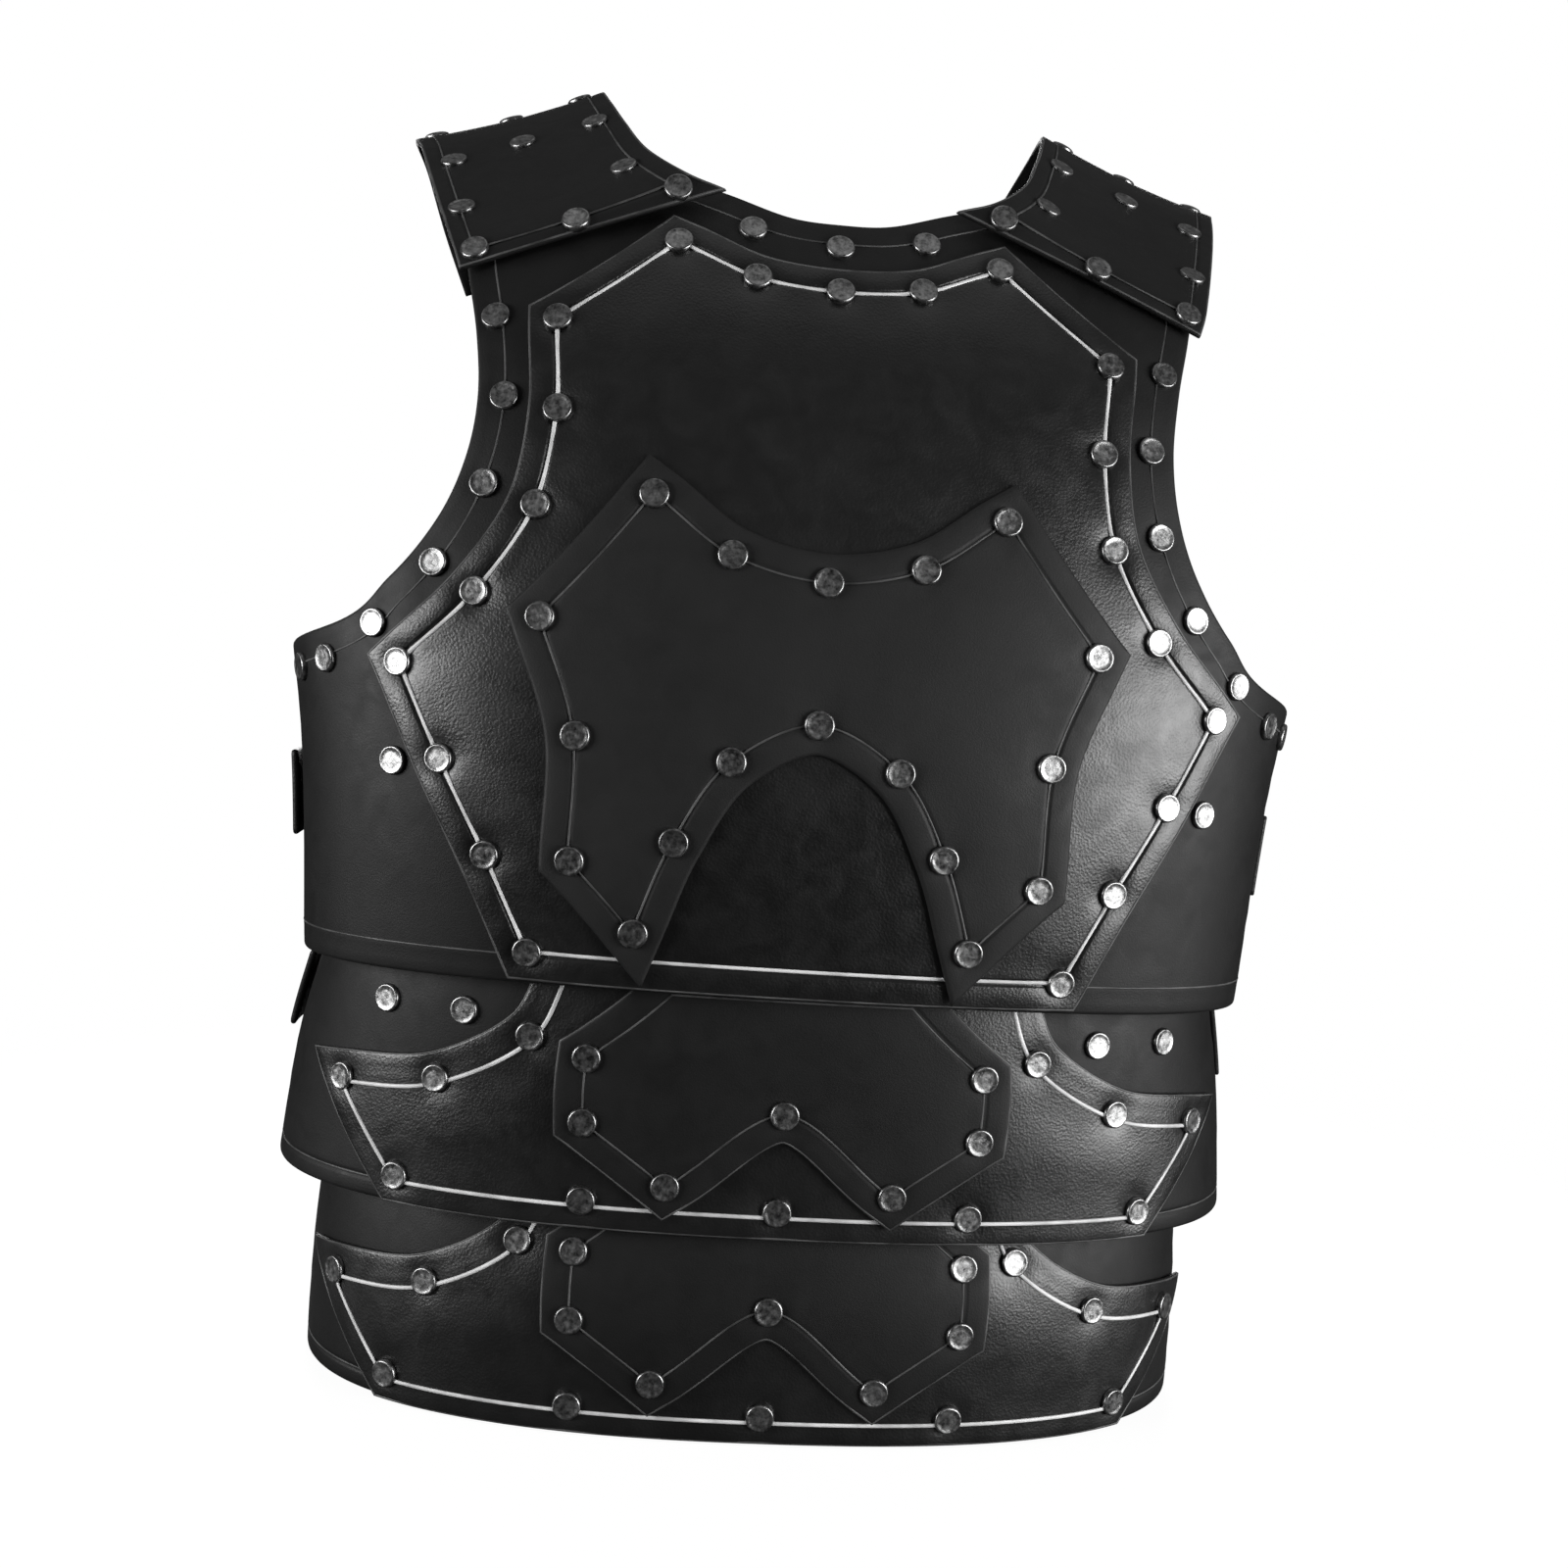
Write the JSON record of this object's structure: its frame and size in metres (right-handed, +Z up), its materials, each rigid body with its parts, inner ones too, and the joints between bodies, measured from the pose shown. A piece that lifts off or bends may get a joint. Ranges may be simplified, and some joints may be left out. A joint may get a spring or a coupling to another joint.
{
  "type": "leather cuirass",
  "caption": "Black leather cuirass: front and back shell, shaped overlay plates, waist lames and shoulder caps, held by capped rivets and side straps.",
  "frame": {"origin": "middle of the bounding box's bottom, at the lower hem that the cuirass stands on", "axes": "+Z up from the hem to the shoulders, -Y towards the front of the chest, +X towards the wearer's left side, which is on the right as the front is seen"},
  "size_m": [0.4522, 0.2791, 0.6026],
  "materials": {
    "black_leather": "black smooth-grain leather, soft sheen",
    "smooth_leather": "black leather, matte and even",
    "rivet_steel": "darkened steel, satin",
    "clasp_steel": "darkened steel, satin"
  },
  "bodies": {
    "root": {"armhole_rivet_1": "rivet_steel", "armhole_rivet_10": "rivet_steel", "armhole_rivet_11": "rivet_steel", "armhole_rivet_12": "rivet_steel", "armhole_rivet_2": "rivet_steel", "armhole_rivet_3": "rivet_steel", "armhole_rivet_4": "rivet_steel", "armhole_rivet_5": "rivet_steel", "armhole_rivet_6": "rivet_steel", "armhole_rivet_7": "rivet_steel", "armhole_rivet_8": "rivet_steel", "armhole_rivet_9": "rivet_steel", "back_base": "black_leather", "centre_plate": "smooth_leather", "chest_plate": "black_leather", "chest_rivet_1": "rivet_steel", "chest_rivet_10": "rivet_steel", "chest_rivet_11": "rivet_steel", "chest_rivet_12": "rivet_steel", "chest_rivet_13": "rivet_steel", "chest_rivet_14": "rivet_steel", "chest_rivet_15": "rivet_steel", "chest_rivet_16": "rivet_steel", "chest_rivet_17": "rivet_steel", "chest_rivet_18": "rivet_steel", "chest_rivet_19": "rivet_steel", "chest_rivet_2": "rivet_steel", "chest_rivet_20": "rivet_steel", "chest_rivet_21": "rivet_steel", "chest_rivet_3": "rivet_steel", "chest_rivet_4": "rivet_steel", "chest_rivet_5": "rivet_steel", "chest_rivet_6": "rivet_steel", "chest_rivet_7": "rivet_steel", "chest_rivet_8": "rivet_steel", "chest_rivet_9": "rivet_steel", "front_base": "black_leather", "left_chest_clasp": "clasp_steel", "left_chest_strap": "black_leather", "left_shoulder_cap": "black_leather", "left_waist_clasp": "clasp_steel", "left_waist_strap": "black_leather", "lower_lame_back_band": "black_leather", "lower_lame_centre": "smooth_leather", "lower_lame_front_band": "black_leather", "lower_lame_plate": "black_leather", "neck_rivet_1": "rivet_steel", "neck_rivet_2": "rivet_steel", "neck_rivet_3": "rivet_steel", "right_chest_clasp": "clasp_steel", "right_chest_strap": "black_leather", "right_shoulder_cap": "black_leather", "right_waist_clasp": "clasp_steel", "right_waist_strap": "black_leather", "strap_rivet_1": "rivet_steel", "strap_rivet_2": "rivet_steel", "upper_lame_back_band": "black_leather", "upper_lame_centre": "smooth_leather", "upper_lame_front_band": "black_leather", "upper_lame_plate": "black_leather"}
  },
  "joints": []
}
